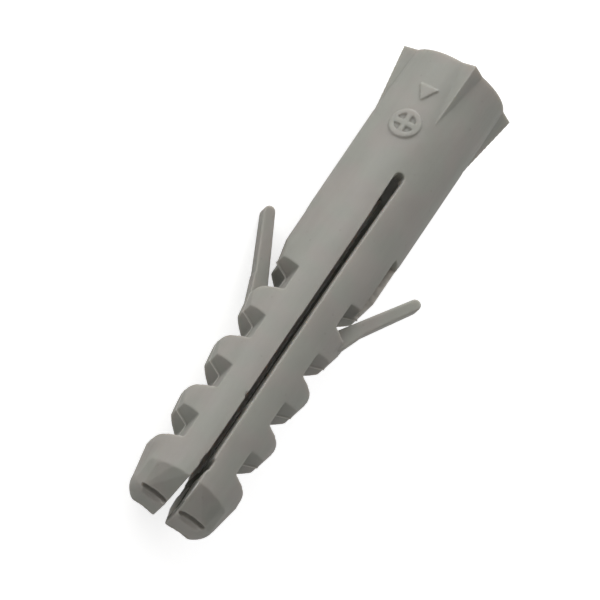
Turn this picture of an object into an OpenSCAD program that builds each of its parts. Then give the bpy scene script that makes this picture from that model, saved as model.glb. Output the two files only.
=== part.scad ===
// Nylon wall plug, moulded in one piece: a slit sleeve with fish-bone teeth, two sprung arms
// that fold into pockets, four fins that stop it turning, and a bore for the screw.
// The plug lies on its side as it comes to rest: the axis runs along Y, the middle of the
// mouth is at the origin, and the tip points to -Y.

/* [Sleeve] */
// Outer diameter, the size of the drilled hole
body_d = 7; // [6.6:0.1:8]
// Length from the tip to the mouth
plug_l = 36; // [34:0.5:42]
// Height of the lower end of the plain sleeve above the tip
sleeve_z = 18.1; // [18:0.1:19.5]

/* [Bore] */
// Diameter of the straight bore at the mouth
bore_d = 4; // [3.6:0.1:4.4]
// Depth of the straight bore
bore_straight = 8.4; // [6:0.1:9]
// Diameter at the end of the first taper, inside the toothed half
bore_mid_d = 2.2; // [1.6:0.1:2.4]
// Height of that place above the tip
bore_mid_z = 13; // [10:0.5:16]
// Diameter where the bore ends
bore_end_d = 1.1; // [0.9:0.05:1.2]
// Height of the blind end of the bore above the tip
bore_end_z = 0.9; // [0.8:0.1:1.6]

/* [Slit] */
// Width of the slit at its round upper end
slit_top_w = 0.72; // [0.6:0.02:0.8]
// Width of the slit at its narrowest
slit_min_w = 0.3; // [0.25:0.01:0.4]
// Width of the slit between the tooth steps
slit_mid_w = 0.5; // [0.42:0.02:0.58]
// Distance from the axis to the left edge of the slit at the tip
slit_tip_left = 0.54; // [0.4:0.02:0.6]
// Distance from the axis to the right edge of the slit at the tip
slit_tip_right = 0.4; // [0.3:0.02:0.5]
// Height of the upper end of the slit above the tip
slit_top_z = 27.2; // [26:0.1:27.4]
// Height of the upper step in the slit
slit_step_z = 15.1; // [14.5:0.1:17]
// Height of the lower step in the slit
slit_notch_z = 8.5; // [7:0.1:9.5]
// Width of the small window across the slit
window_w = 0.68; // [0.62:0.02:0.74]
// Height of that window
window_h = 0.9; // [0.7:0.05:1.1]
// Height of the middle of the window above the tip
window_z = 3.3; // [3:0.1:3.6]

/* [Teeth] */
// Number of notches down each side
notch_count = 4; // [3:1:4]
// Distance from one notch to the next
notch_pitch = 4.08; // [3.9:0.02:4.2]
// Height of the open gap of a notch, at its floor
notch_h = 1.85; // [1.5:0.05:2.1]
// Distance from the axis to the floor of a notch
notch_root = 2.05; // [1.95:0.05:2.3]
// Distance from the axis to the sharp lower corner of a tooth
tooth_corner = 3.17; // [3.05:0.01:3.24]
// Rise of the undercut from the floor of a notch out to that corner
tooth_undercut = 0.5; // [0.3:0.02:0.7]
// Distance from the axis to the widest place of a tooth, under its shoulder
shoulder_x = 3.45; // [3.4:0.01:3.47]
// Radius of the round edge of a shoulder
shoulder_r = 0.35; // [0.2:0.05:0.6]
// Fall of a shoulder from the floor of a notch out to its round edge
shoulder_fall = 0.12; // [0:0.02:0.3]
// Length over which the end of the plain sleeve narrows to its corner
sleeve_taper = 1.6; // [1.2:0.1:2]

/* [Tip] */
// Depth of the flat end face, front to back
tip_face_w = 2.5; // [2.2:0.1:2.8]
// Height of the bevels on the front and the back
bevel_h = 1.85; // [1.6:0.05:2.3]
// Half width of the flat end face, to the corner where its bevels fan out
bevel_corner = 2.4; // [2.2:0.05:2.55]
// Turn of the last bevel about the axis
bevel_turn = 54; // [48:1:58]
// Radius of the round corners of the tip
tip_r = 1; // [0.8:0.05:1.1]
// Half width of the tip above its round corners
tip_half = 3.12; // [3.05:0.01:3.2]
// Height at which the tip has reached its full width
tip_full_z = 3.2; // [2.8:0.1:3.4]
// Distance from the slit's middle to the middle of a scoop in the end of a jaw
scoop_x = 1.5; // [1.4:0.05:1.6]
// Length of a scoop
scoop_l = 1.9; // [1.6:0.1:2]
// Depth of a scoop
scoop_r = 0.3; // [0.2:0.02:0.36]

/* [Arms] */
// Thickness of an arm at its round end
arm_t = 0.76; // [0.66:0.02:0.86]
// Thickness of an arm where it leaves the shoulder of the first tooth
arm_root_t = 1; // [0.9:0.02:1.1]
// Width of an arm along the mould's pull
arm_w = 1.2; // [1:0.05:1.4]
// Distance from the parting plane to the near face of an arm
arm_in = 0.4; // [0.2:0.05:0.5]
// Length of an arm from the sleeve's radius to its round end
arm_l = 4.6; // [4.2:0.1:5]
// Height at which the middle of an arm crosses the sleeve's radius
arm_z = 17.55; // [17.4:0.05:17.7]
// Lean of the right arm away from the axis
arm_lean_right = 30; // [26:1:34]
// Lean of the left arm away from the axis
arm_lean_left = 26; // [24:1:32]
// Length of an arm's foot, down to its end inside the first tooth
arm_foot = 2; // [1.9:0.05:2.2]
// Height of the gusset outside an arm's foot
arm_gusset = 1.5; // [1.2:0.1:1.8]

/* [Arm pockets] */
// Distance from the axis to the floor of a pocket
pocket_floor = 2.9; // [2.75:0.05:3]
// Height of the upper end of a pocket above the tip
pocket_top = 22.8; // [22.4:0.1:24]

/* [Fins] */
// Height of a fin over the sleeve at the mouth
fin_h = 0.7; // [0.5:0.05:0.9]
// Length of a fin along the sleeve
fin_l = 4.6; // [4:0.1:5]
// Width of the foot of a fin at the mouth
fin_w = 1.7; // [1.4:0.1:2]

/* [Hidden] */
$fn = 96;

// Fall of the last tooth's flank for each millimetre outwards
nose_slope = 6;
// Overshoot of a cutter past the surface that it cuts
eps = 0.5;
// Size of a box that holds the whole plug
reach = 4 * body_d;
body_r = body_d / 2;
fin_count = 4;
nylon = [0.6, 0.59, 0.56];

// Outward rise of a fin's ridge, and the turn of the prism that makes it
fin_lean = atan2(fin_h, fin_l);
fin_half = fin_w / 2;

// Height of the upper end of the floor of each notch, the first one under the sleeve
notch_tops = [for (i = [0 : notch_count - 1]) sleeve_z - i * notch_pitch];

// Turns of the bevels that fan out from a corner of the end face, and the radius of the tip
// at the height of the bevels
bevel_turns = [0, bevel_turn / 3, 2 * bevel_turn / 3, bevel_turn];
bevel_r = tip_half + (body_r - tip_half) * (bevel_h - tip_r) / (tip_full_z - tip_r);

// Roll at which a fin at the mouth and the outer edge of the left arm reach equally low
fin_reach = body_r + fin_h;
arm_reach = body_r + (arm_l - arm_t / 2) * sin(arm_lean_left) + arm_t / 2;
rest_roll = atan2(fin_reach - arm_in - arm_w, arm_reach);

function arc(cx, cy, r, from, to, n = 12) =
    [for (i = [0 : n]) let (a = from + (to - from) * i / n) [cx + r * cos(a), cy + r * sin(a)]];

// Extrudes an outline drawn in the X-Z plane along Y, from y0 to y1.
module pull(y0, y1) {
    translate([0, y1, 0]) rotate([90, 0, 0]) linear_extrude(y1 - y0) children();
}

// Half outline of the sleeve and of the round tip, turned about the axis.
module sleeve_blank() {
    rotate_extrude()
        polygon(concat(
            [[0, 0]],
            arc(tip_half - tip_r, tip_r, tip_r, -90, 0),
            [[body_r, tip_full_z], [body_r, plug_l], [0, plug_l]]
        ));
}

// One fin: a three-sided prism that leans out towards the mouth and ends flush with it.
module fin() {
    intersection() {
        translate([0, 0, plug_l - fin_l])
            rotate([0, fin_lean, 0])
                translate([0, 0, -fin_l])
                    linear_extrude(3 * fin_l)
                        polygon([
                            [body_r, 0], [body_r - fin_half, fin_half], [body_r - fin_half, -fin_half]
                        ]);
        translate([0, -body_r, 0]) cube([reach, body_d, plug_l]);
    }
}

module fins() {
    for (i = [0 : fin_count - 1]) rotate([0, 0, i * 360 / fin_count]) fin();
}

// Outline that is cut from the right flank, from the sleeve down to the last tooth. Each
// notch has an undercut above its floor, and below it the flat shoulder of the next tooth.
module flank_outline() {
    last = notch_tops[notch_count - 1] - notch_h - shoulder_fall - shoulder_r;
    polygon(concat(
        [[reach, sleeve_z + tooth_undercut + sleeve_taper * (reach - tooth_corner)
            / (body_r - tooth_corner)]],
        [for (z = notch_tops) let (shoulder = z - notch_h - shoulder_fall) each concat(
            [[tooth_corner, z + tooth_undercut], [notch_root, z], [notch_root, z - notch_h]],
            arc(shoulder_x - shoulder_r, shoulder - shoulder_r, shoulder_r, 90, 0, 6)
        )],
        [[reach, last - (reach - shoulder_x) * nose_slope]]
    ));
}

module flanks() {
    for (side = [0, 1]) mirror([side, 0, 0]) pull(-reach, reach) flank_outline();
}

// The slit runs through from front to back. Its left edge steps out where its width changes.
module slit() {
    top = slit_top_z - slit_top_w / 2;
    pull(-reach, reach) polygon(concat(
        arc(0, top, slit_top_w / 2, 0, 180),
        [
            [-slit_min_w / 2, slit_step_z], [-slit_mid_w / 2, slit_step_z],
            [-slit_mid_w / 2, slit_notch_z], [-slit_min_w / 2, slit_notch_z],
            [-slit_mid_w / 2, window_z], [-slit_tip_left, -eps],
            [slit_tip_right, -eps], [slit_mid_w / 2, window_z], [slit_min_w / 2, slit_notch_z]
        ]
    ));
    translate([-window_w / 2, -reach, window_z - window_h / 2])
        cube([window_w, 2 * reach, window_h]);
}

// The bore: straight at the mouth, then two tapers down to a blind end.
module bore() {
    straight_z = plug_l - bore_straight;
    rotate_extrude()
        polygon([
            [0, bore_end_z], [bore_end_d / 2, bore_end_z], [bore_mid_d / 2, bore_mid_z],
            [bore_d / 2, straight_z], [bore_d / 2, plug_l + eps], [0, plug_l + eps]
        ]);
}

// One flat bevel at the tip. It starts at a corner of the end face and touches the sleeve's
// surface at the height of the bevels.
module bevel_cut(turn) {
    foot = bevel_corner * sin(turn) + tip_face_w / 2 * cos(turn);
    slope = bevel_h / (bevel_r - foot);
    rotate([0, 0, turn])
        rotate([0, 0, 90])
            pull(-reach, reach)
                polygon([[foot - eps / slope, -eps], [reach, (reach - foot) * slope], [reach, -eps]]);
}

module bevels() {
    for (side = [0, 1], back = [0, 1], turn = bevel_turns)
        mirror([0, back, 0]) mirror([side, 0, 0]) bevel_cut(turn);
}

// A long shallow scoop in each jaw, where a bevel meets the end face.
module scoops() {
    half = scoop_l / 2;
    r = (half * half + scoop_r * scoop_r) / (2 * scoop_r);
    span = asin(half / r);
    for (x = [-scoop_x, scoop_x], y = [-1, 1])
        translate([x, y * (tip_face_w / 2 - scoop_r / 2), 0])
            rotate([0, 90, 0])
                rotate_extrude($fn = 40)
                    polygon(concat([[0, -half]], arc(scoop_r - r, 0, r, -span, span), [[0, half]]));
}

// The pocket that the right arm folds into, open to the front half of the mould.
module pocket() {
    translate([pocket_floor, -reach, sleeve_z])
        cube([reach, reach, pocket_top - sleeve_z]);
}

// The right arm. It rises from the shoulder of the first tooth and thins to its round end,
// and a gusset fills the corner outside its foot.
module arm(lean) {
    outer = arm_root_t / 2 * cos(lean);
    shoulder = sleeve_z - notch_h;
    pull(-arm_in - arm_w, -arm_in) {
        translate([body_r, arm_z]) rotate(-lean)
            polygon(concat(
                [[-arm_root_t / 2, -arm_foot], [arm_root_t / 2, -arm_foot]],
                arc(0, arm_l - arm_t / 2, arm_t / 2, 0, 180)
            ));
        polygon([
            [notch_root + outer, shoulder - arm_gusset / 2], [tooth_corner + outer / 4, shoulder - arm_gusset / 2],
            [body_r + outer, arm_z - outer / 2], [body_r - outer, arm_z - arm_root_t]
        ]);
    }
}

module standing_plug() {
    difference() {
        union() {
            difference() {
                sleeve_blank();
                flanks();
                pocket();
                rotate([0, 0, 180]) pocket();
                bevels();
                scoops();
            }
            fins();
            arm(arm_lean_right);
            rotate([0, 0, 180]) arm(arm_lean_left);
        }
        bore();
        slit();
    }
}

module plug() {
    color(nylon)
        rotate([0, -rest_roll, 0])
            rotate([-90, 0, 0])
                translate([0, 0, -plug_l])
                    standing_plug();
}

plug();
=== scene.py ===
"""Looks of a moulded nylon wall plug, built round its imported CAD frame.

The plug lies on its side on a white floor. Its axis runs along Y with the mouth at the origin, and the camera
looks down on the slit from the tip's side. Shapes are drawn upright and in millimetres, with the tip at the
origin, and are then laid down and brought to metres.
"""

import logging
import math
from dataclasses import dataclass, field
from enum import Enum

import bpy
import bmesh
import numpy as np
from mathutils import Matrix, Vector


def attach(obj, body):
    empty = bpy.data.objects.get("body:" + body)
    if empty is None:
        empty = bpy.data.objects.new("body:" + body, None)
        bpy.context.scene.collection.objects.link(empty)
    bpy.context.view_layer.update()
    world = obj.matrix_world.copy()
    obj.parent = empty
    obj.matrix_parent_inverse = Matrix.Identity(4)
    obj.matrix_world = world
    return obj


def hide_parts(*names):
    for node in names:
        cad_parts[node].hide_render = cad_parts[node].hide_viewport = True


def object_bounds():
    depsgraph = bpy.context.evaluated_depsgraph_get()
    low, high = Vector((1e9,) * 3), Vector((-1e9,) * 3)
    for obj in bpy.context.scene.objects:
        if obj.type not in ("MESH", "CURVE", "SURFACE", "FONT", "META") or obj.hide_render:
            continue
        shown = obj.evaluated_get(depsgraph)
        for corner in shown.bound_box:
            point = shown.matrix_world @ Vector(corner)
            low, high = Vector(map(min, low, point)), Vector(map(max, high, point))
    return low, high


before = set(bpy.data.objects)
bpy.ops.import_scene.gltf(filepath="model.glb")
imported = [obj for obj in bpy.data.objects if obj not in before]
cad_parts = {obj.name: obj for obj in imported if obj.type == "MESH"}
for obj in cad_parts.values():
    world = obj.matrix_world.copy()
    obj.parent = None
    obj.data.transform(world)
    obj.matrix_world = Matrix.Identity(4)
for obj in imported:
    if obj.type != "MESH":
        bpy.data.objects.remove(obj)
CAD_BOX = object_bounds()

log = logging.getLogger("wall_plug")
MM = 0.001
PHOTO_SIDE = 600
PLUG_NODE = "plug"


class Side(Enum):
    """The two flanks of the plug, as signs of X in its upright frame."""

    RIGHT = 1
    LEFT = -1


class Flank(Enum):
    """Names of the values that the body's mesh carries for its finish."""

    EDGE = "edge_curve"
    SEAM = "seam_line"
    # Mask of the slit's walls, which get painted light.
    WALL_LIGHT = "slit_wall_painted_light"


@dataclass(frozen=True)
class PlugFrame:
    """Places on the plug, in its own upright frame, turned to how it lies.

    In the upright frame the tip is at the origin, the mouth is at z = length, the slit faces -Y and the
    right arm points to +X. Its lengths are in millimetres.
    """

    length: float = 36.0
    sleeve_r: float = 3.5
    fin_reach: float = 4.2
    arm_edge: float = 1.6
    arm_reach: float = 5.73

    def roll(self) -> float:
        """Roll about the axis at which the plug rests on a fin and on its left arm, in radians."""
        return math.atan2(self.fin_reach - self.arm_edge, self.arm_reach)

    def turn(self) -> Matrix:
        """Rotation from the upright frame to the lying one."""
        return Matrix.Rotation(-self.roll(), 3, "Y") @ Matrix.Rotation(math.radians(-90), 3, "X")

    def matrix(self) -> Matrix:
        """Full matrix from the upright frame in millimetres to the row frame in metres."""
        return self.turn().to_4x4() @ Matrix.Scale(MM, 4) @ Matrix.Translation((0, 0, -self.length))

    def place(self, point: Vector) -> Vector:
        """A point of the upright frame as it lies in the row frame.

        Args:
            point: Place in the upright frame, in millimetres.

        Returns:
            The same place in the row frame, in metres.
        """
        return self.matrix() @ point


@dataclass(frozen=True)
class PhotoCamera:
    """Camera at the photograph's viewing angle.

    The angles are read from the photograph: how far the mouth tilts away, how far the slit is turned to the
    right, and how far the mouth leans to the right of upright in the picture.
    """

    tilt: float = 22.2
    slit_turn: float = 5.0
    lean: float = 34.15
    aim_z: float = 17.43
    aim_side: float = -0.57
    distance: float = 1.2
    px_per_mm: float = 15.64
    sensor: float = 36.0

    def axes(self, plug: PlugFrame) -> tuple[Vector, Vector, Vector]:
        """Right, up and back of the camera in the row frame.

        Args:
            plug: The frame that says how the plug lies.

        Returns:
            Three unit vectors.
        """
        tilt, turn, lean = (math.radians(a) for a in (self.tilt, self.slit_turn, self.lean))
        back = Vector((-math.sin(turn) * math.cos(tilt), -math.cos(turn) * math.cos(tilt), -math.sin(tilt)))
        along = Vector((0, 0, 1)) - back * back.z
        along.normalize()
        across = along.cross(back)
        right = across * math.cos(lean) + along * math.sin(lean)
        up = along * math.cos(lean) - across * math.sin(lean)
        return tuple(plug.turn() @ v for v in (right, up, back))

    def build(self, plug: PlugFrame) -> bpy.types.Object:
        """Makes the camera and sets it as the scene's.

        Args:
            plug: The frame that says how the plug lies.

        Returns:
            The camera object.
        """
        right, up, back = self.axes(plug)
        across = right * math.cos(math.radians(self.lean)) - up * math.sin(math.radians(self.lean))
        aim = plug.place(Vector((0, 0, self.aim_z))) + across * self.aim_side * MM
        data = bpy.data.cameras.new("photo_camera")
        data.sensor_width = self.sensor
        data.lens = self.sensor * self.distance / (PHOTO_SIDE / self.px_per_mm * MM)
        data.clip_start = 0.01
        camera = bpy.data.objects.new("photo_camera", data)
        turn = Matrix((right, up, back)).transposed()
        camera.matrix_world = Matrix.Translation(aim + back * self.distance) @ turn.to_4x4()
        bpy.context.scene.collection.objects.link(camera)
        bpy.context.scene.camera = camera
        return camera


class NodeTree:
    """Small helper that adds and joins nodes in a material or a node group."""

    def __init__(self, tree: bpy.types.NodeTree) -> None:
        """Keeps the tree.

        Args:
            tree: Tree of a material or of a node group.
        """
        self.tree = tree

    def add(self, kind: str, **values: object) -> bpy.types.Node:
        """Adds a node and sets its own properties.

        Args:
            kind: Blender's name of the node type.
            **values: Properties of the node.

        Returns:
            The new node.
        """
        node = self.tree.nodes.new(kind)
        for name, value in values.items():
            setattr(node, name, value)
        return node

    def feed(self, source: object, target: bpy.types.NodeSocket) -> None:
        """Joins a socket to a target, or writes a plain value there.

        Args:
            source: An output socket, a number or a tuple.
            target: The input socket.
        """
        if isinstance(source, bpy.types.NodeSocket):
            self.tree.links.new(source, target)
        else:
            target.default_value = source

    def noise(self, vector: object, scale: object, detail: float, roughness: float = 0.5) -> bpy.types.NodeSocket:
        """A noise pattern from 0 to 1.

        Args:
            vector: Where the pattern is read.
            scale: Its scale.
            detail: How many finer layers it has.
            roughness: How strong these are.

        Returns:
            The value's socket.
        """
        node = self.add("ShaderNodeTexNoise")
        self.feed(vector, node.inputs["Vector"])
        self.feed(scale, node.inputs["Scale"])
        node.inputs["Detail"].default_value = detail
        node.inputs["Roughness"].default_value = roughness
        return node.outputs["Fac"]

    def sum(self, operation: str, first: object, second: object, clamp: bool = False) -> bpy.types.NodeSocket:
        """One step of arithmetic.

        Args:
            operation: Blender's name of the step.
            first: First value or socket.
            second: Second value or socket.
            clamp: Whether the result is held between 0 and 1.

        Returns:
            The result's socket.
        """
        node = self.add("ShaderNodeMath", operation=operation, use_clamp=clamp)
        self.feed(first, node.inputs[0])
        self.feed(second, node.inputs[1])
        return node.outputs[0]

    def spread(self, value: object, low: float, high: float, to_low: float, to_high: float) -> bpy.types.NodeSocket:
        """Maps a value from one range to another, softly and within its ends.

        Args:
            value: The value's socket.
            low: Start of its range.
            high: End of its range.
            to_low: What the start becomes.
            to_high: What the end becomes.

        Returns:
            The result's socket.
        """
        node = self.add("ShaderNodeMapRange", interpolation_type="SMOOTHSTEP")
        self.feed(value, node.inputs["Value"])
        for name, number in (("From Min", low), ("From Max", high), ("To Min", to_low), ("To Max", to_high)):
            self.feed(number, node.inputs[name])
        return node.outputs["Result"]

    def mix(self, factor: object, first: object, second: object, blend: str = "MIX") -> bpy.types.NodeSocket:
        """Mixes two colours.

        Args:
            factor: Share of the second one.
            first: First colour.
            second: Second colour.
            blend: Blender's name of the way they mix.

        Returns:
            The colour's socket.
        """
        node = self.add("ShaderNodeMix", data_type="RGBA", blend_type=blend)
        self.feed(factor, node.inputs["Factor"])
        self.feed(first, node.inputs["A"])
        self.feed(second, node.inputs["B"])
        return node.outputs["Result"]


class FinishGroup:
    """Base of a node group that one effect of a finish is built in."""

    name: str = "finish_effect"
    inputs: tuple[tuple[str, str, float], ...] = ()
    outputs: tuple[tuple[str, str], ...] = ()

    def tree(self) -> bpy.types.NodeTree:
        """The group's tree, made on first use."""
        if self.name in bpy.data.node_groups:
            return bpy.data.node_groups[self.name]
        group = bpy.data.node_groups.new(self.name, "ShaderNodeTree")
        group.interface.new_socket("Place", in_out="INPUT", socket_type="NodeSocketVector")
        for name, kind, value in self.inputs:
            socket = group.interface.new_socket(name, in_out="INPUT", socket_type=kind)
            socket.default_value = value
        for name, kind in self.outputs:
            group.interface.new_socket(name, in_out="OUTPUT", socket_type=kind)
        nodes = NodeTree(group)
        self.draw(nodes, nodes.add("NodeGroupInput").outputs, nodes.add("NodeGroupOutput").inputs)
        return group

    def draw(self, nodes: NodeTree, given: object, out: object) -> None:
        """Draws the effect.

        Args:
            nodes: The group's tree.
            given: Sockets of the group's inputs.
            out: Sockets of the group's outputs.
        """
        raise NotImplementedError

    def place(self, nodes: NodeTree, place: bpy.types.NodeSocket, **values: float) -> bpy.types.Node:
        """Puts the group in a material.

        Args:
            nodes: The material's tree.
            place: Socket of the coordinates.
            **values: Values of the group's inputs, with spaces written as underscores.

        Returns:
            The group's node.
        """
        node = nodes.add("ShaderNodeGroup", node_tree=self.tree())
        nodes.feed(place, node.inputs["Place"])
        for name, value in values.items():
            nodes.feed(value, node.inputs[name.replace("_", " ")])
        return node


class FlowMottle(FinishGroup):
    """Cloudy tone of filled nylon, drawn out along the way it flowed in the mould."""

    name = "flow_mottle"
    inputs = (("Cloud Size", "NodeSocketFloat", 2.4), ("Streak Size", "NodeSocketFloat", 0.7))
    outputs = (("Cloud", "NodeSocketFloat"), ("Streak", "NodeSocketFloat"), ("Warmth", "NodeSocketFloat"))

    def draw(self, nodes: NodeTree, given: object, out: object) -> None:
        """Draws clouds, streaks along Y and a slow change between warm and cool.

        Args:
            nodes: The group's tree.
            given: Sockets of the group's inputs.
            out: Sockets of the group's outputs.
        """
        per_cloud = nodes.sum("DIVIDE", 1 / MM, given["Cloud Size"])
        per_streak = nodes.sum("DIVIDE", 1 / MM, given["Streak Size"])
        nodes.feed(nodes.noise(given["Place"], per_cloud, 3.0, 0.55), out["Cloud"])
        stretch = nodes.add("ShaderNodeMapping")
        nodes.feed(given["Place"], stretch.inputs["Vector"])
        stretch.inputs["Scale"].default_value = (1.0, 0.16, 1.0)
        nodes.feed(nodes.noise(stretch.outputs[0], per_streak, 4.0, 0.6), out["Streak"])
        shifted = nodes.add("ShaderNodeMapping")
        nodes.feed(given["Place"], shifted.inputs["Vector"])
        shifted.inputs["Location"].default_value = (0.31, 0.07, 0.12)
        nodes.feed(nodes.noise(shifted.outputs[0], per_cloud, 1.0), out["Warmth"])


class MouldGrain(FinishGroup):
    """Fine spark-eroded grain of the mould, with a few specks and scuffs."""

    name = "mould_grain"
    inputs = (("Grain Size", "NodeSocketFloat", 0.09), ("Scuff Size", "NodeSocketFloat", 1.1))
    outputs = (("Height", "NodeSocketFloat"), ("Speck", "NodeSocketFloat"), ("Scuff", "NodeSocketFloat"))

    def draw(self, nodes: NodeTree, given: object, out: object) -> None:
        """Draws the grain's height and the masks of its specks and scuffs.

        Args:
            nodes: The group's tree.
            given: Sockets of the group's inputs.
            out: Sockets of the group's outputs.
        """
        per_grain = nodes.sum("DIVIDE", 1 / MM, given["Grain Size"])
        per_scuff = nodes.sum("DIVIDE", 1 / MM, given["Scuff Size"])
        fine = nodes.noise(given["Place"], per_grain, 2.0, 0.6)
        broad = nodes.noise(given["Place"], nodes.sum("MULTIPLY", per_grain, 0.12), 2.0)
        nodes.feed(nodes.sum("ADD", nodes.sum("MULTIPLY", fine, 0.45), nodes.sum("MULTIPLY", broad, 0.55)),
                   out["Height"])
        cells = nodes.add("ShaderNodeTexVoronoi")
        nodes.feed(given["Place"], cells.inputs["Vector"])
        nodes.feed(nodes.sum("MULTIPLY", per_grain, 0.1), cells.inputs["Scale"])
        nodes.feed(nodes.spread(cells.outputs["Distance"], 0.04, 0.13, 1.0, 0.0), out["Speck"])
        scuff = nodes.noise(given["Place"], per_scuff, 5.0, 0.7)
        nodes.feed(nodes.spread(scuff, 0.56, 0.74, 0.0, 1.0), out["Scuff"])


class HollowPaintedShade(FinishGroup):
    """Mask of narrow hollows from ambient occlusion, where painted shade darkens the colour."""

    name = "hollow_painted_shade"
    inputs = (("Reach", "NodeSocketFloat", 0.4),)
    outputs = (("Hollow", "NodeSocketFloat"),)

    def draw(self, nodes: NodeTree, given: object, out: object) -> None:
        """Draws the mask from how closed in a place is.

        Args:
            nodes: The group's tree.
            given: Sockets of the group's inputs.
            out: Sockets of the group's outputs.
        """
        shut = nodes.add("ShaderNodeAmbientOcclusion", samples=8)
        nodes.feed(nodes.sum("MULTIPLY", given["Reach"], MM), shut.inputs["Distance"])
        nodes.feed(nodes.spread(shut.outputs["AO"], 0.92, 0.35, 0.0, 1.0), out["Hollow"])


class EdgeTone(FinishGroup):
    """Masks of the rounded edges, the inner corners for painted shade, the mould's seam for a painted highlight and
    the slit's walls for painted light, as the mesh has them.
    """

    name = "edge_tone"
    inputs = (("Breakup Size", "NodeSocketFloat", 0.5),)
    outputs = (("Edge", "NodeSocketFloat"), ("Corner", "NodeSocketFloat"), ("Seam", "NodeSocketFloat"),
               ("Wall Light", "NodeSocketFloat"))

    def draw(self, nodes: NodeTree, given: object, out: object) -> None:
        """Draws the masks, those of the edges and the seam broken up a little.

        Args:
            nodes: The group's tree.
            given: Sockets of the group's inputs.
            out: Sockets of the group's outputs.
        """
        curve = nodes.add("ShaderNodeAttribute", attribute_name=Flank.EDGE.value).outputs["Fac"]
        seam = nodes.add("ShaderNodeAttribute", attribute_name=Flank.SEAM.value).outputs["Fac"]
        per_break = nodes.sum("DIVIDE", 1 / MM, given["Breakup Size"])
        broken = nodes.spread(nodes.noise(given["Place"], per_break, 3.0), 0.3, 0.62, 0.45, 1.0)
        edge = nodes.spread(curve, 0.56, 0.86, 0.0, 1.0)
        nodes.feed(nodes.sum("MULTIPLY", edge, broken), out["Edge"])
        nodes.feed(nodes.spread(curve, 0.44, 0.16, 0.0, 1.0), out["Corner"])
        nodes.feed(nodes.sum("MULTIPLY", seam, broken), out["Seam"])
        nodes.feed(nodes.add("ShaderNodeAttribute", attribute_name=Flank.WALL_LIGHT.value).outputs["Fac"], out["Wall Light"])


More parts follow.
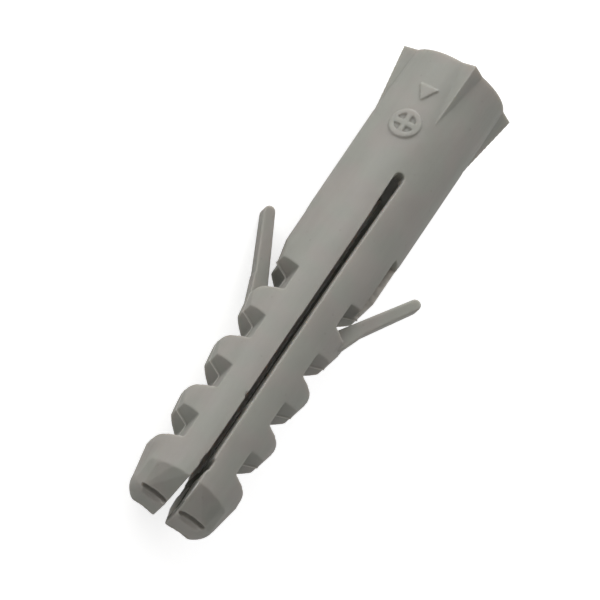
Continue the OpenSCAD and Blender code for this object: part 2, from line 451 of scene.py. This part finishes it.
@dataclass(frozen=True)
class NylonFinish:
    """Warm grey moulded nylon: cloudy tone, fine grain, soft sheen and rubbed edges, with painted shade in hollows
    and inner corners, a painted highlight on the seam's flash and painted light on the slit's walls.
    """

    colour: tuple[float, float, float] = (0.304, 0.298, 0.268)
    warm: tuple[float, float, float] = (0.325, 0.292, 0.272)
    cool: tuple[float, float, float] = (0.287, 0.296, 0.262)
    rubbed: tuple[float, float, float] = (0.40, 0.385, 0.36)
    # Painted shade colour, for hollows and inner corners.
    painted_shade_colour: tuple[float, float, float] = (0.155, 0.14, 0.125)
    # Painted highlight colour along the seam's flash ridge; the ridge itself is real geometry.
    flash: tuple[float, float, float] = (0.66, 0.63, 0.59)
    # Painted light colour of the slit's walls, standing in for light coming through the slit from behind.
    painted_wall_light: tuple[float, float, float] = (0.84, 0.82, 0.78)
    roughness: tuple[float, float] = (0.5, 0.64)
    grain_height: float = 0.02 * MM
    subsurface: float = 0.5

    def build(self) -> bpy.types.Material:
        """Makes the material.

        Returns:
            The material.
        """
        material = bpy.data.materials.new("grey_nylon")
        material.use_nodes = True
        nodes = NodeTree(material.node_tree)
        bsdf = material.node_tree.nodes["Principled BSDF"]
        place = nodes.add("ShaderNodeTexCoord").outputs["Object"]
        flow = FlowMottle().place(nodes, place).outputs
        grain = MouldGrain().place(nodes, place).outputs
        edge = EdgeTone().place(nodes, place).outputs
        hollow = HollowPaintedShade().place(nodes, place).outputs["Hollow"]
        bsdf.inputs["Subsurface Weight"].default_value = self.subsurface
        bsdf.inputs["Subsurface Radius"].default_value = (1.0, 0.9, 0.78)
        bsdf.inputs["Subsurface Scale"].default_value = 1.1 * MM
        bsdf.inputs["IOR"].default_value = 1.53
        # Painted shade: ambient occlusion darkens hollows towards the painted shade colour, except on the slit's
        # walls, which get painted light instead.
        kept = nodes.sum("MULTIPLY", hollow, nodes.sum("SUBTRACT", 0.6, nodes.sum("MULTIPLY", edge["Wall Light"], 0.6)))
        colour = nodes.mix(kept, self.tone(nodes, flow, grain, edge), (*self.painted_shade_colour, 1))
        nodes.feed(colour, bsdf.inputs["Base Color"])
        nodes.feed(self.sheen(nodes, flow, grain, edge), bsdf.inputs["Roughness"])
        bump = nodes.add("ShaderNodeBump")
        bump.inputs["Strength"].default_value = 0.55
        bump.inputs["Distance"].default_value = self.grain_height
        nodes.feed(grain["Height"], bump.inputs["Height"])
        nodes.feed(bump.outputs["Normal"], bsdf.inputs["Normal"])
        return material

    def tone(self, nodes: NodeTree, flow: object, grain: object, edge: object) -> bpy.types.NodeSocket:
        """Colour over the surface, with painted shade in inner corners, a painted highlight on the seam and painted
        light on the slit's walls.

        Args:
            nodes: The material's tree.
            flow: Outputs of the flow group.
            grain: Outputs of the grain group.
            edge: Outputs of the edge group.

        Returns:
            The colour's socket.
        """
        colour = nodes.mix(nodes.spread(flow["Warmth"], 0.38, 0.62, 0.0, 1.0), (*self.cool, 1), (*self.warm, 1))
        colour = nodes.mix(0.6, colour, (*self.colour, 1))
        shade = nodes.spread(flow["Cloud"], 0.3, 0.7, 0.965, 1.03)
        streak = nodes.spread(flow["Streak"], 0.3, 0.7, 0.98, 1.02)
        level = nodes.sum("MULTIPLY", shade, streak)
        level = nodes.sum("SUBTRACT", level, nodes.sum("MULTIPLY", grain["Speck"], 0.09))
        grey = nodes.add("ShaderNodeCombineColor")
        for channel in ("Red", "Green", "Blue"):
            nodes.feed(level, grey.inputs[channel])
        colour = nodes.mix(1.0, colour, grey.outputs[0], "MULTIPLY")
        # Painted shade: inner corners darkened towards the painted shade colour.
        colour = nodes.mix(nodes.sum("MULTIPLY", edge["Corner"], 0.35), colour, (*self.painted_shade_colour, 1))
        colour = nodes.mix(nodes.sum("MULTIPLY", edge["Edge"], 0.16), colour, (*self.rubbed, 1))
        # Painted highlight: the seam's flash made lighter than the body.
        colour = nodes.mix(nodes.sum("MULTIPLY", edge["Seam"], 0.8), colour, (*self.flash, 1))
        # Painted light: the slit's walls made much paler, standing in for light coming through the slit from behind.
        return nodes.mix(nodes.sum("MULTIPLY", edge["Wall Light"], 0.9), colour, (*self.painted_wall_light, 1))

    def sheen(self, nodes: NodeTree, flow: object, grain: object, edge: object) -> bpy.types.NodeSocket:
        """Roughness over the surface.

        Args:
            nodes: The material's tree.
            flow: Outputs of the flow group.
            grain: Outputs of the grain group.
            edge: Outputs of the edge group.

        Returns:
            The value's socket.
        """
        rough = nodes.spread(flow["Cloud"], 0.3, 0.7, *self.roughness)
        rough = nodes.sum("ADD", rough, nodes.sum("MULTIPLY", grain["Scuff"], 0.08))
        return nodes.sum("SUBTRACT", rough, nodes.sum("MULTIPLY", edge["Edge"], 0.06), clamp=True)


@dataclass(frozen=True)
class PartingSeam:
    """Thin flash where the two halves of the mould met, along both flanks."""

    width: float = 0.17
    proud: float = 0.1
    proud_outside: float = 0.03
    depth: float = 0.2
    notch_tops: tuple[float, ...] = (18.1, 14.02, 9.94, 5.86)
    notch_h: float = 1.85
    notch_root: float = 2.05
    tooth_corner: float = 3.17
    undercut: float = 0.5
    shoulder_x: float = 3.45
    shoulder_r: float = 0.35
    shoulder_fall: float = 0.12
    sleeve_x: float = 3.5
    sleeve_from: float = 23.2
    sleeve_to: float = 31.0
    tip_full_z: float = 3.2
    tip_half: float = 3.12
    tip_r: float = 1.0

    def tooth_path(self, top: float) -> list[Vector]:
        """Line down one notch and round the shoulder below it, on the right flank.

        Args:
            top: Height of the upper end of the notch's floor.

        Returns:
            Points in the plane where the mould parts.
        """
        shoulder = top - self.notch_h - self.shoulder_fall
        low = shoulder - self.shoulder_r
        inner = self.shoulder_x - self.shoulder_r
        bend = [math.radians(a) for a in (90, 60, 30, 0)]
        return [Vector((self.tooth_corner, 0, top + self.undercut)),
                Vector((self.notch_root, 0, top)),
                Vector((self.notch_root, 0, top - self.notch_h))] + [
            Vector((inner + self.shoulder_r * math.cos(a), 0, low + self.shoulder_r * math.sin(a))) for a in bend]

    def tip_path(self) -> list[Vector]:
        """Line from the last shoulder to the rounded tip, on the right flank."""
        low = self.notch_tops[-1] - self.notch_h - self.shoulder_fall - self.shoulder_r
        return [Vector((self.shoulder_x, 0, low)), Vector((self.sleeve_x, 0, self.tip_full_z)),
                Vector((self.tip_half, 0, self.tip_r))]

    def paths(self) -> list[list[Vector]]:
        """All lines of the right flank, from the sleeve down to the tip."""
        paths = [[Vector((self.sleeve_x, 0, self.sleeve_to)), Vector((self.sleeve_x, 0, self.sleeve_from))]]
        for i, top in enumerate(self.notch_tops):
            path = self.tooth_path(top)
            if i + 1 < len(self.notch_tops):
                path.append(Vector((self.tooth_corner, 0, self.notch_tops[i + 1] + self.undercut)))
            paths.append(path)
        return paths + [self.tip_path()]

    def bar(self, bm: bmesh.types.BMesh, start: Vector, end: Vector, side: Side) -> None:
        """One straight length of flash, half sunk in the surface.

        Args:
            bm: The mesh that takes it.
            start: Upper end on the right flank.
            end: Lower end on the right flank.
            side: Flank that it belongs to.
        """
        run = end - start
        along = run.normalized()
        out = Vector((-along.z, 0, along.x))
        inside = min(start.x, end.x) < self.notch_root + 0.01
        proud = self.proud if inside else self.proud_outside
        middle = (start + end) / 2 + out * (proud - self.depth / 2)
        turn = Matrix((along, Vector((0, 1, 0)), out)).transposed().to_4x4()
        size = Matrix.Diagonal((run.length + self.width / 2, self.width, self.depth, 1))
        mirror = Matrix.Diagonal((side.value, 1, 1, 1))
        bmesh.ops.create_cube(bm, size=1, matrix=mirror @ Matrix.Translation(middle) @ turn @ size)

    def build(self, bm: bmesh.types.BMesh) -> None:
        """Adds the flash of both flanks.

        Args:
            bm: The mesh that takes it, upright and in millimetres.
        """
        for side in Side:
            for path in self.paths():
                for start, end in zip(path, path[1:]):
                    self.bar(bm, start, end, side)


@dataclass(frozen=True)
class RaisedMark:
    """Plain moulded signs near the mouth: a ring with a cross, and an arrowhead that points to the tip."""

    skin_r: float = 3.5
    angle: float = -28.0
    proud: float = 0.13
    sunk: float = 0.25
    stroke: float = 0.34
    ring_z: float = 30.3
    ring_r: float = 1.05
    cross: float = 0.62
    arrow_z: float = 33.0
    arrow_r: float = 0.78
    steps: int = 48

    def ring(self, bm: bmesh.types.BMesh) -> None:
        """Adds the ring, as a square section turned about its middle.

        Args:
            bm: The flat mesh of the signs.
        """
        half = self.stroke / 2
        box = bmesh.ops.create_grid(bm, x_segments=1, y_segments=1, size=0.5)["verts"]
        tall = self.proud + self.sunk
        bmesh.ops.transform(bm, verts=box, matrix=Matrix.Rotation(math.radians(90), 4, "X"))
        bmesh.ops.scale(bm, verts=box, vec=(2 * half, 1, tall))
        bmesh.ops.translate(bm, verts=box, vec=(self.ring_r - half, 0, (self.proud - self.sunk) / 2))
        faces = {f for v in box for f in v.link_faces}
        bmesh.ops.spin(bm, geom=box + list(faces) + list({e for v in box for e in v.link_edges}),
                       axis=(0, 0, 1), cent=(0, 0, 0), angle=math.tau, steps=self.steps, use_merge=True)
        bmesh.ops.delete(bm, geom=list(faces), context="FACES_ONLY")

    def bar(self, bm: bmesh.types.BMesh, turn: float) -> None:
        """Adds one stroke of the cross.

        Args:
            bm: The flat mesh of the signs.
            turn: Its turn in degrees.
        """
        size = Matrix.Diagonal((2 * self.cross, self.stroke, self.proud + self.sunk, 1))
        lift = Matrix.Translation((0, 0, (self.proud - self.sunk) / 2))
        made = bmesh.ops.create_cube(bm, size=1, matrix=Matrix.Rotation(math.radians(turn), 4, "Z") @ lift @ size)
        edges = list({e for v in made["verts"] for e in v.link_edges})
        bmesh.ops.subdivide_edges(bm, edges=edges, cuts=3, use_grid_fill=True)

    def arrow(self, bm: bmesh.types.BMesh) -> None:
        """Adds the arrowhead, a flat three-sided prism.

        Args:
            bm: The flat mesh of the signs.
        """
        lift = Matrix.Translation((0, self.arrow_z - self.ring_z, (self.proud - self.sunk) / 2))
        made = bmesh.ops.create_cone(
            bm, cap_ends=True, cap_tris=False, segments=3, radius1=self.arrow_r, radius2=self.arrow_r,
            depth=self.proud + self.sunk, matrix=lift @ Matrix.Rotation(math.radians(180), 4, "Z"))
        edges = list({e for v in made["verts"] for e in v.link_edges})
        bmesh.ops.subdivide_edges(bm, edges=edges, cuts=3, use_grid_fill=True)

    def wrap(self, point: Vector) -> Vector:
        """Lays a point of the flat signs on the near skin.

        Args:
            point: Place on the flat signs: across, along and height over the skin.

        Returns:
            The place in the upright frame.
        """
        around = math.radians(self.angle) + point.x / self.skin_r
        radius = self.skin_r + point.z
        return Vector((radius * math.sin(around), -radius * math.cos(around), self.ring_z + point.y))

    def build(self, bm: bmesh.types.BMesh) -> None:
        """Adds the signs, wrapped on the sleeve.

        Args:
            bm: The mesh that takes them, upright and in millimetres.
        """
        flat = bmesh.new()
        self.ring(flat)
        for turn in (0, 90):
            self.bar(flat, turn)
        self.arrow(flat)
        for vert in flat.verts:
            vert.co = self.wrap(vert.co)
        bmesh.ops.recalc_face_normals(flat, faces=flat.faces)
        mesh = bpy.data.meshes.new("signs")
        flat.to_mesh(mesh)
        flat.free()
        bm.from_mesh(mesh)
        bpy.data.meshes.remove(mesh)


@dataclass(frozen=True)
class SlitOpening:
    """The slit's clear width between the jaws, and the hollow of the scoops in their ends.

    Both are a little fuller here than in the CAD solid, the scoops on the near side only, because those behind
    would break the outline of the ends. Each stretch of the slit is a box, given by its ends
    across, in depth and in height. The lips narrow the far side of the slit, so that the floor doesn't show.
    """

    stretches: tuple[tuple[float, float, float, float, float, float], ...] = (
        (-0.27, 0.28, -5.0, 5.0, -1.0, 8.43),
        (-0.33, 0.4, -5.0, -0.4, 2.85, 3.75),
        (-0.38, 0.28, -5.0, -2.4, 8.42, 8.76),
        (-0.27, 0.2, -5.0, 5.0, 8.42, 8.76),
        (-0.30, 0.28, -5.0, 5.0, 8.75, 15.1),
        (-0.27, 0.28, -5.0, 5.0, 15.08, 26.8))
    lips: tuple[tuple[float, float, float, float, float, float], ...] = (
        (0.19, 0.5, 2.2, 3.36, 4.3, 12.0),
        (0.24, 0.5, 2.2, 3.36, 12.0, 27.3))
    scoop: tuple[float, float, float] = (1.5, -1.44, 0.17)
    scoop_half: tuple[float, float, float] = (1.06, 0.27, 0.62)
    scoop_lean: float = 42.5

    @staticmethod
    def box(bm: bmesh.types.BMesh, ends: tuple[float, ...]) -> None:
        """Adds a box.

        Args:
            bm: The mesh that takes it.
            ends: Its ends across, in depth and in height.
        """
        low, high = Vector(ends[::2]), Vector(ends[1::2])
        bmesh.ops.create_cube(
            bm, size=1, matrix=Matrix.Translation((low + high) / 2) @ Matrix.Diagonal((*(high - low), 1)))

    def build(self) -> bpy.types.Object:
        """Makes the cutter.

        Returns:
            An object for a boolean, upright and in millimetres.
        """
        bm = bmesh.new()
        for ends in self.stretches:
            self.box(bm, ends)
        for side in Side:
            x, y, z = self.scoop
            middle = Matrix.Translation((side.value * x, y, z)) @ Matrix.Rotation(
                -math.radians(self.scoop_lean), 4, "X")
            bmesh.ops.create_uvsphere(bm, u_segments=32, v_segments=24, radius=1,
                                      matrix=middle @ Matrix.Diagonal((*self.scoop_half, 1)))
        mesh = bpy.data.meshes.new("slit_cutter")
        bm.to_mesh(mesh)
        bm.free()
        cutter = bpy.data.objects.new("slit_cutter", mesh)
        bpy.context.scene.collection.objects.link(cutter)
        return cutter


@dataclass(frozen=True)
class TipFill:
    """Fullness of the tip's front and back, which keep the sleeve's radius down to the bevels."""

    sleeve_r: float = 3.5
    full_z: float = 3.2
    bevel_z: float = 1.85
    tip_half: float = 3.12
    tip_r: float = 1.0
    front_from: float = 0.3
    front_full: float = 0.62

    def swell(self, mesh: bpy.types.Mesh) -> None:
        """Swells the front and the back of the tip out to the sleeve's radius.

        Args:
            mesh: The body's mesh, upright and in millimetres.
        """
        places = np.empty(len(mesh.vertices) * 3)
        mesh.vertices.foreach_get("co", places)
        places = places.reshape(-1, 3)
        height = np.clip(places[:, 2], 0, self.full_z)
        narrow = self.tip_half + (self.sleeve_r - self.tip_half) * (
            np.maximum(height, self.bevel_z) - self.tip_r) / (self.full_z - self.tip_r)
        growth = (self.sleeve_r / narrow - 1) * np.minimum(height / self.bevel_z, 1)
        radius = np.maximum(np.hypot(places[:, 0], places[:, 1]), self.tip_r)
        front = np.clip((np.abs(places[:, 1]) / radius - self.front_from) / (self.front_full - self.front_from), 0, 1)
        places[:, :2] *= (1 + growth * front * front * (3 - 2 * front))[:, None]
        mesh.vertices.foreach_set("co", places.reshape(-1))


@dataclass(frozen=True)
class PlugBody:
    """The moulded plug: the CAD solid with its flash and signs, its edges rounded as the mould leaves them."""

    seam: PartingSeam = field(default_factory=PartingSeam)
    signs: RaisedMark = field(default_factory=RaisedMark)
    slit: SlitOpening = field(default_factory=SlitOpening)
    tip: TipFill = field(default_factory=TipFill)
    merge: float = 0.0005
    voxel: float = 0.062
    smooth_rounds: int = 5
    smooth_factor: float = 0.5
    triangles: int = 188000
    curve_full: float = 7.0
    seam_half: float = 0.11
    seam_inset: float = 0.02
    # Where the slit's walls get painted light: across, from what depth, apart from the window and below the slit's
    # top.
    wall_half: float = 0.36
    wall_from: float = 0.12
    window: tuple[float, float] = (2.7, 3.9)
    slit_top: float = 27.1

    def rough(self, plug: PlugFrame) -> bpy.types.Mesh:
        """The CAD solid's copy, upright and in millimetres, with the slit opened and flash and signs added.

        Args:
            plug: The frame that says how the plug lies.

        Returns:
            The mesh.
        """
        bm = bmesh.new()
        bm.from_mesh(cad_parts[PLUG_NODE].data)
        bmesh.ops.transform(bm, verts=bm.verts, matrix=plug.matrix().inverted())
        bmesh.ops.remove_doubles(bm, verts=bm.verts, dist=self.merge)
        mesh = bpy.data.meshes.new("plug_rough")
        bm.to_mesh(mesh)
        cutter = self.slit.build()
        mesh = self.applied(mesh, [
            ("BOOLEAN", {"operation": "DIFFERENCE", "solver": "EXACT", "use_self": True, "object": cutter})])
        bpy.data.meshes.remove(cutter.data)
        bm.clear()
        bm.from_mesh(mesh)
        for ends in self.slit.lips:
            self.slit.box(bm, ends)
        self.seam.build(bm)
        self.signs.build(bm)
        bm.to_mesh(mesh)
        bm.free()
        return mesh

    def applied(self, mesh: bpy.types.Mesh, kinds: list[tuple[str, dict[str, object]]]) -> bpy.types.Mesh:
        """A mesh with modifiers applied.

        Args:
            mesh: The mesh to start from. It is removed.
            kinds: Each modifier's type and values.

        Returns:
            The new mesh.
        """
        holder = bpy.data.objects.new("holder", mesh)
        bpy.context.scene.collection.objects.link(holder)
        for kind, values in kinds:
            modifier = holder.modifiers.new(kind.lower(), kind)
            for name, value in values.items():
                setattr(modifier, name, value)
        graph = bpy.context.evaluated_depsgraph_get()
        made = bpy.data.meshes.new_from_object(holder.evaluated_get(graph), depsgraph=graph)
        bpy.data.objects.remove(holder)
        bpy.data.meshes.remove(mesh)
        return made

    def mark_edges(self, mesh: bpy.types.Mesh) -> None:
        """Writes on each point how far its surface bulges, and whether it is on the seam, which gets a painted
        highlight, or on the slit's wall, which gets painted light.

        Args:
            mesh: The finished mesh, upright and in millimetres.
        """
        count = len(mesh.vertices)
        places = np.empty(count * 3)
        mesh.vertices.foreach_get("co", places)
        places = places.reshape(-1, 3)
        normals = np.empty(count * 3)
        mesh.vertices.foreach_get("normal", normals)
        normals = normals.reshape(-1, 3)
        ends = np.empty(len(mesh.edges) * 2, dtype=np.int64)
        mesh.edges.foreach_get("vertices", ends)
        first, second = ends.reshape(-1, 2).T
        links = np.bincount(np.concatenate((first, second)), minlength=count)

        run = places[second] - places[first]
        length = np.maximum((run ** 2).sum(1), 1e-9)
        bend = 2 * (run * (normals[second] - normals[first])).sum(1) / length / 2
        curve = (np.bincount(first, bend, count) + np.bincount(second, bend, count)) / links
        for _ in range(2):
            near = (np.bincount(first, curve[second], count) + np.bincount(second, curve[first], count)) / links
            curve = (curve + near) / 2
        self.write(mesh, Flank.EDGE, np.clip(0.5 + curve / self.curve_full / 2, 0, 1))
        # Mask of the seam's flash, which gets a painted highlight.
        flash = np.clip(1.6 - np.abs(places[:, 1]) / self.seam_half * 1.6, 0, 1)
        radius = np.hypot(places[:, 0], places[:, 1])
        outside = (radius > self.seam.notch_root - self.seam_inset) & (
            places[:, 2] > self.seam.tip_r) & (places[:, 2] < self.seam.sleeve_to)
        self.write(mesh, Flank.SEAM, flash * outside)
        # Mask of the slit's walls, below the slit's top and apart from the window, which get painted light.
        depth = self.tip.sleeve_r - radius
        inner = np.clip((depth - self.wall_from) / self.wall_from, 0, 1) * (np.abs(places[:, 0]) < self.wall_half)
        low, high = self.window
        lit = (places[:, 2] > self.wall_from) & (places[:, 2] < self.slit_top)
        lit &= (places[:, 2] < low) | (places[:, 2] > high)
        self.write(mesh, Flank.WALL_LIGHT, inner * lit)

    def write(self, mesh: bpy.types.Mesh, name: Flank, values: np.ndarray) -> None:
        """Writes one value for each point of a mesh.

        Args:
            mesh: The mesh.
            name: Name of the values.
            values: The values.
        """
        layer = mesh.attributes.new(name.value, "FLOAT", "POINT")
        layer.data.foreach_set("value", values.astype(np.float32))

    def build(self, plug: PlugFrame, material: bpy.types.Material) -> bpy.types.Object:
        """Builds the body in place of the CAD node.

        Args:
            plug: The frame that says how the plug lies.
            material: Its finish.

        Returns:
            The body's object.
        """
        mesh = self.applied(self.rough(plug), [("REMESH", {"mode": "VOXEL", "voxel_size": self.voxel})])
        self.tip.swell(mesh)
        mesh = self.applied(mesh, [("SMOOTH", {"factor": self.smooth_factor, "iterations": self.smooth_rounds})])
        mesh.calc_loop_triangles()
        log.info("remeshed: %d triangles", len(mesh.loop_triangles))
        share = min(1.0, self.triangles / len(mesh.loop_triangles))
        mesh = self.applied(mesh, [("DECIMATE", {"ratio": share})])
        self.mark_edges(mesh)
        mesh.transform(plug.matrix())
        mesh.polygons.foreach_set("use_smooth", np.ones(len(mesh.polygons), dtype=bool))
        mesh.name = "moulded_plug"
        body = bpy.data.objects.new("moulded_plug", mesh)
        bpy.context.scene.collection.objects.link(body)
        mesh.materials.clear()
        mesh.materials.append(material)
        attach(body, "root")
        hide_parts(PLUG_NODE)
        return body


@dataclass(frozen=True)
class SoftLamp:
    """One soft lamp, aimed at the middle of the plug.

    Its bearing is counted from the mouth's side towards the left arm's, and its height from the floor, both in
    degrees.
    """

    name: str
    bearing: float
    height: float
    energy: float
    size: float = 0.25
    distance: float = 0.4

    def build(self, aim: Vector) -> bpy.types.Object:
        """Hangs the lamp.

        Args:
            aim: What it points at.

        Returns:
            The lamp object.
        """
        bearing, height = math.radians(self.bearing), math.radians(self.height)
        way = Vector((-math.sin(bearing) * math.cos(height), math.cos(bearing) * math.cos(height), math.sin(height)))
        data = bpy.data.lights.new(self.name, "AREA")
        data.energy = self.energy
        data.size = self.size
        lamp = bpy.data.objects.new(self.name, data)
        lamp.location = aim + way * self.distance
        lamp.rotation_mode = "QUATERNION"
        lamp.rotation_quaternion = way.to_track_quat("Z", "Y")
        bpy.context.scene.collection.objects.link(lamp)
        return lamp


@dataclass(frozen=True)
class Studio:
    """White floor, soft lamps and an even world."""

    floor_side: float = 1.2
    floor_glow: float = 0.6
    lamps: tuple[SoftLamp, ...] = (
        SoftLamp("head_lamp", 2, 15, 0.72),
        SoftLamp("key_lamp", 30, 17, 0.32, size=0.18),
        SoftLamp("side_lamp", 72, 18, 0.68),
        SoftLamp("fill_lamp", -62, 24, 0.1),
    )
    world_strength: float = 0.395

    def floor(self, height: float) -> bpy.types.Object:
        """The floor, at the plug's lowest point.

        Args:
            height: Height of the floor in metres.

        Returns:
            The floor object.
        """
        mesh = bpy.data.meshes.new("floor")
        bm = bmesh.new()
        bmesh.ops.create_grid(bm, x_segments=1, y_segments=1, size=self.floor_side / 2)
        bmesh.ops.translate(bm, verts=bm.verts, vec=(0, 0, height))
        bm.to_mesh(mesh)
        bm.free()
        floor = bpy.data.objects.new("floor", mesh)
        bpy.context.scene.collection.objects.link(floor)
        material = bpy.data.materials.new("white_floor")
        material.use_nodes = True
        nodes = NodeTree(material.node_tree)
        bsdf = material.node_tree.nodes["Principled BSDF"]
        bsdf.inputs["Base Color"].default_value = (0.9, 0.9, 0.9, 1)
        bsdf.inputs["Roughness"].default_value = 0.9
        glow = nodes.add("ShaderNodeEmission")
        seen = nodes.add("ShaderNodeLightPath").outputs["Is Camera Ray"]
        nodes.feed(nodes.sum("MULTIPLY", seen, self.floor_glow), glow.inputs["Strength"])
        add = nodes.add("ShaderNodeAddShader")
        nodes.feed(bsdf.outputs[0], add.inputs[0])
        nodes.feed(glow.outputs[0], add.inputs[1])
        nodes.feed(add.outputs[0], material.node_tree.nodes["Material Output"].inputs["Surface"])
        floor.data.materials.append(material)
        return floor

    def build(self, plug: PlugFrame, height: float) -> None:
        """Makes the floor, lamps and world.

        Args:
            plug: The frame that says how the plug lies.
            height: Height of the floor.
        """
        self.floor(height)
        for lamp in self.lamps:
            lamp.build(plug.place(Vector((0, 0, plug.length / 2))))
        world = bpy.data.worlds.new("studio")
        world.use_nodes = True
        background = world.node_tree.nodes["Background"]
        background.inputs["Color"].default_value = (1, 1, 1, 1)
        background.inputs["Strength"].default_value = self.world_strength
        bpy.context.scene.world = world


def main() -> None:
    """Builds the scene piece by piece."""
    logging.basicConfig(level=logging.INFO, format="%(name)s: %(message)s")
    plug = PlugFrame()
    PhotoCamera().build(plug)
    bpy.context.scene.view_settings.view_transform = "Standard"
    body = PlugBody().build(plug, NylonFinish().build())
    log.info("moulded_plug: %d faces", len(body.data.polygons))
    Studio().build(plug, CAD_BOX[0].z)
    log.info("studio: floor, lamps and world")


if __name__ == "__main__":
    main()
